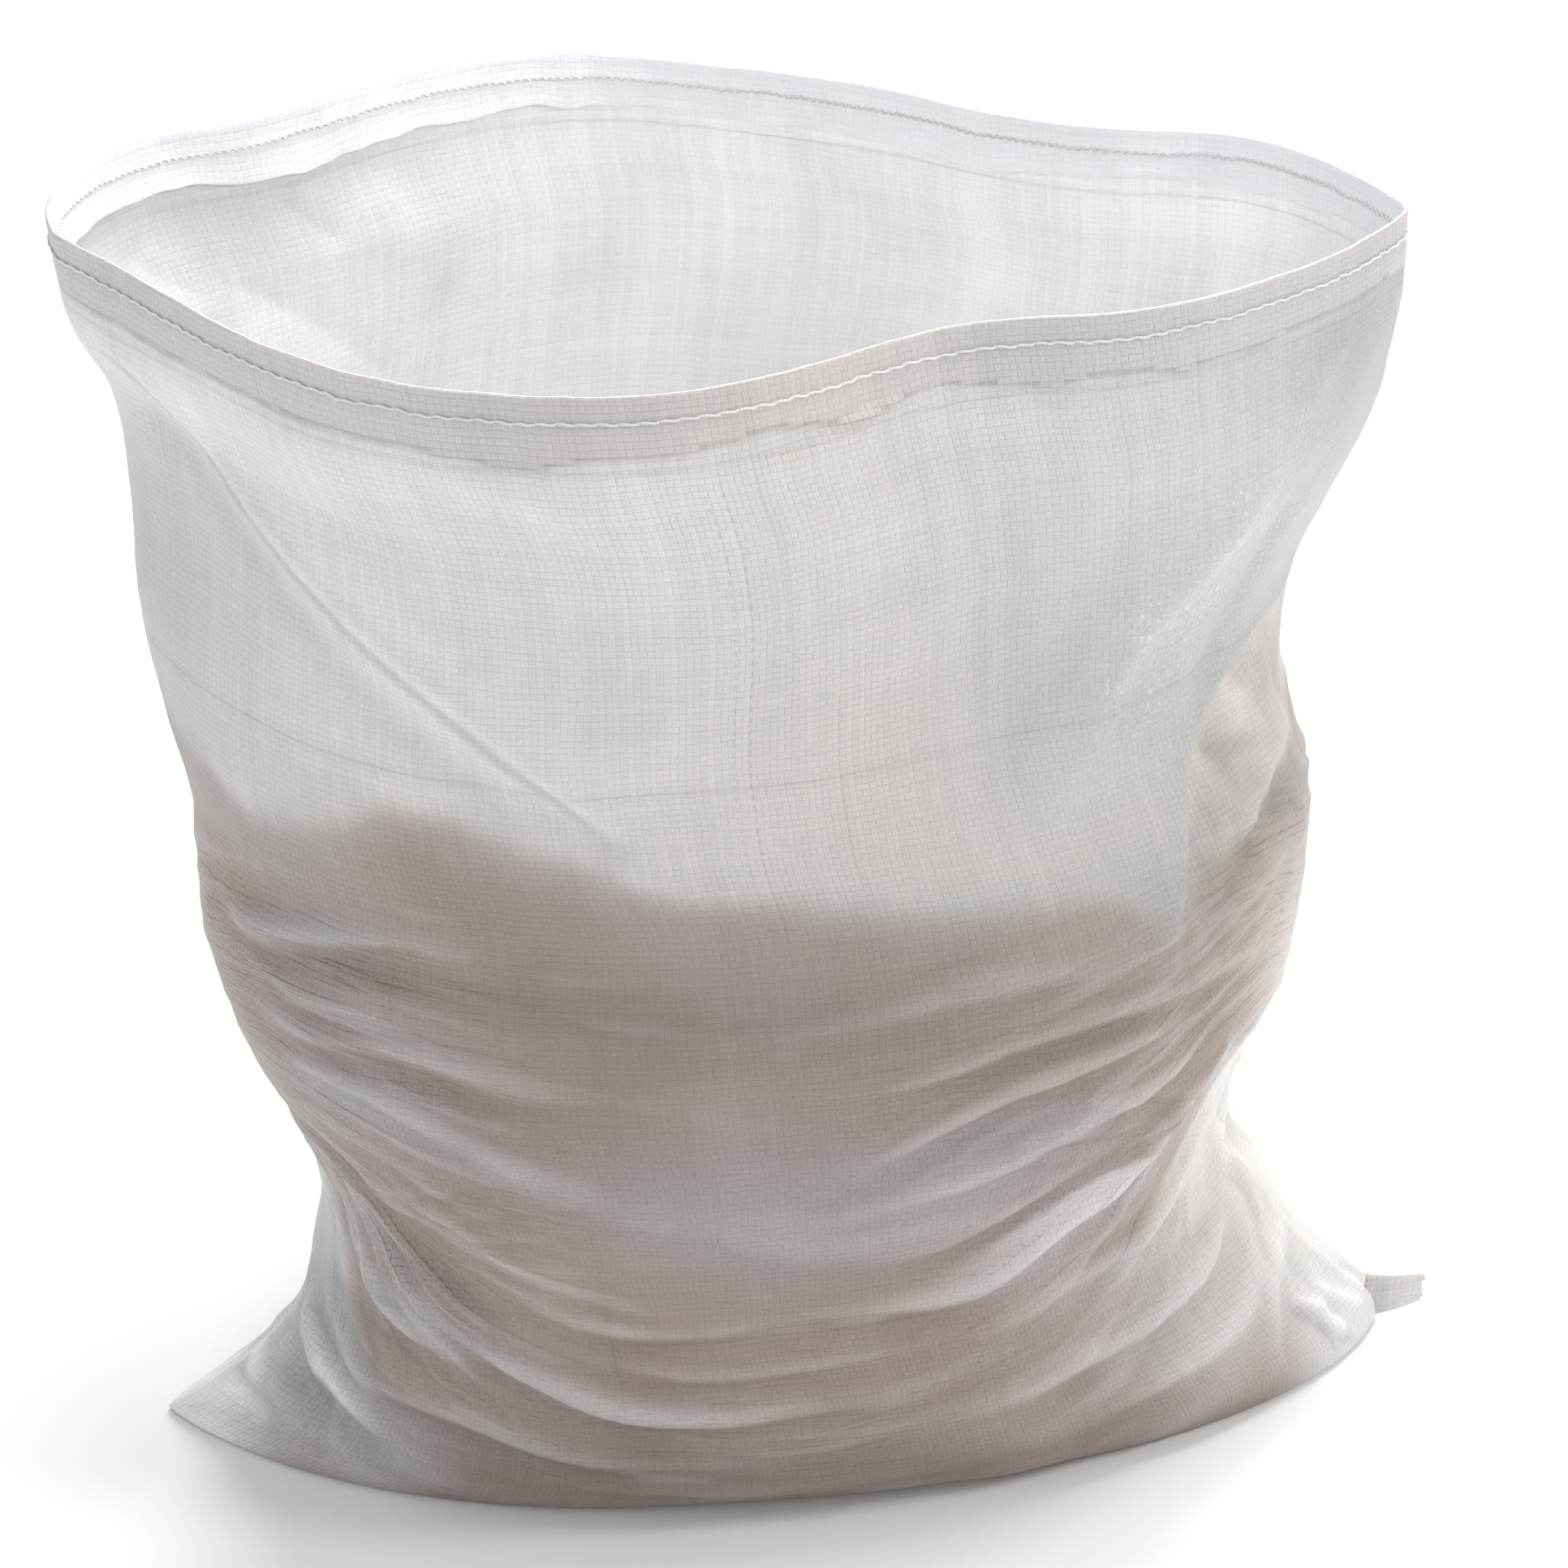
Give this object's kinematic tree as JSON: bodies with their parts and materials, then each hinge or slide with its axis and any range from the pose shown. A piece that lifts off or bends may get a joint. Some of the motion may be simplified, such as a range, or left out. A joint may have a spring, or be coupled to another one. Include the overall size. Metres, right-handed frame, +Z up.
{
  "type": "woven sack",
  "caption": "Open woven polypropylene sack with a hemmed mouth, standing on its sewn bottom and part filled with sand.",
  "frame": {"origin": "on the floor, under the middle of the sack", "axes": "+Z up; +X runs along the bottom seam from the left corner to the right corner; -Y is the front of the sack"},
  "size_m": [0.51, 0.3202, 0.481],
  "materials": {
    "cloth": "satin",
    "thread": "matte",
    "sand": "matte"
  },
  "bodies": {
    "sack": {"lower_wall": "cloth", "lower_collar": "cloth", "upper_collar": "cloth", "sand_fill": "sand", "bottom_front_half": "cloth", "bottom_back_half": "cloth", "bottom_hem": "cloth", "bottom_needle_thread": "thread", "bottom_looper_thread": "thread"},
    "mouth": {"mouth_hem": "cloth", "hem_needle_thread": "thread", "hem_looper_thread": "thread"},
    "left_ear": {"left_corner": "cloth"},
    "right_ear": {"right_corner": "cloth"},
    "tail": {"seam_tail": "cloth"}
  },
  "joints": [
    {"name": "collar_slump", "type": "slide", "parent": "sack", "child": "mouth", "axis": [0, 0, -1], "range_m": [0, 0.055], "stiffness_N_per_m": 150, "deforming": ["upper_collar"]},
    {"name": "left_ear_flex", "type": "hinge", "parent": "sack", "child": "left_ear", "pos_m": [-0.1843, -0.0571, 0.029], "axis": [0, 1, 0], "range_deg": [0, 40]},
    {"name": "right_ear_flex", "type": "hinge", "parent": "sack", "child": "right_ear", "pos_m": [0.2223, -0.0045, 0.049], "axis": [0, -1, 0], "range_deg": [0, 35]},
    {"name": "seam_tail_flex", "type": "hinge", "parent": "right_ear", "child": "tail", "pos_m": [0.2592, 0.007, 0.014], "axis": [0, 0, 1], "range_deg": [-35, 35]}
  ]
}
